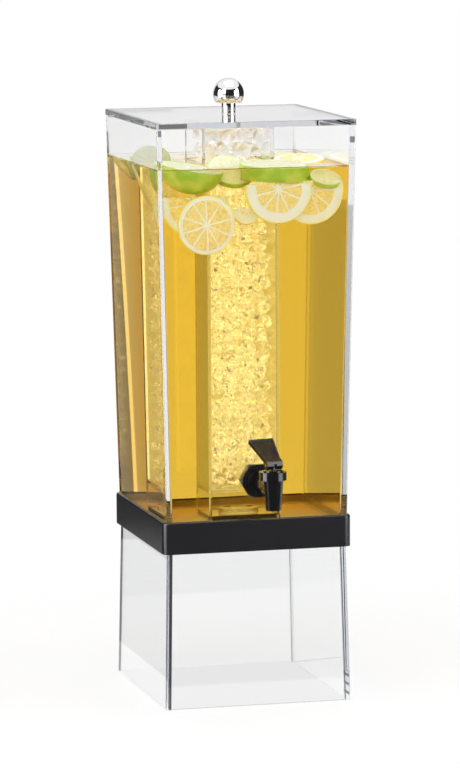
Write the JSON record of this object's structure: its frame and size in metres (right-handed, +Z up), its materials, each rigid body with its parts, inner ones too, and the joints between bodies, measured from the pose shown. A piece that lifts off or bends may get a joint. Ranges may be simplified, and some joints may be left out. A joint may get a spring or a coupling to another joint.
{
  "type": "beverage dispenser",
  "caption": "Tall clear drink dispenser: tapered reservoir with a square ice core, lever tap, flat lid with ball knob, black ring and open clear stand.",
  "frame": {"origin": "on the floor under the middle of the stand, on the reservoir's and core's common axis", "axes": "+Z up along the core's axis, the tap on the -Y face, +X to the right when facing the tap"},
  "size_m": [0.215, 0.3076, 0.6542],
  "materials": {
    "clear_acrylic": "clear polished acrylic, lightly grey at cut edges",
    "black_ring": "satin moulded black plastic",
    "black_tap": "glossy moulded black plastic",
    "chrome": "bright chrome plate",
    "steel": "plain stainless steel",
    "stem_plastic": "plain grey acetal",
    "silicone": "soft matt silicone"
  },
  "bodies": {
    "base": {"stand": "clear_acrylic", "base_ring": "black_ring"},
    "reservoir": {"container": "clear_acrylic", "tap_body": "black_tap", "tap_collar": "black_tap", "outer_gasket": "silicone", "inner_gasket": "silicone", "lock_nut": "black_tap", "bonnet": "black_tap", "bonnet_seal": "silicone", "valve_spring": "steel"},
    "core": {"core_tube": "clear_acrylic", "ice_floor": "clear_acrylic", "core_locator": "clear_acrylic"},
    "lid": {"lid_plate": "clear_acrylic", "knob_foot": "chrome", "knob_neck": "chrome", "knob_ball": "chrome", "knob_screw": "steel"},
    "stem": {"valve_stem": "stem_plastic", "seat_cup": "silicone"},
    "lever": {"lever": "black_tap", "lever_pin": "steel"}
  },
  "joints": [
    {"name": "reservoir_lift", "type": "slide", "parent": "base", "child": "reservoir", "axis": [0, 0, 1], "range_m": [0, 0.05]},
    {"name": "core_lift", "type": "slide", "parent": "reservoir", "child": "core", "axis": [0, 0, 1], "range_m": [0, 0.44]},
    {"name": "lid_lift", "type": "slide", "parent": "core", "child": "lid", "axis": [0, 0, 1], "range_m": [0, 0.08]},
    {"name": "stem_lift", "type": "slide", "parent": "reservoir", "child": "stem", "axis": [0, 0, 1], "range_m": [0, 0.005], "deforming": ["valve_spring"]},
    {"name": "lever_pull", "type": "hinge", "parent": "stem", "child": "lever", "pos_m": [0, -0.17636, 0.2653], "axis": [0.9781, 0.2079, 0], "range_deg": [0, 55], "stiffness_Nm_per_rad": 0.2, "springref_deg": -17.19}
  ],
  "couplings": [
    {"joint": "stem_lift", "follows": "lever_pull", "m_per_rad": 0.0052}
  ]
}
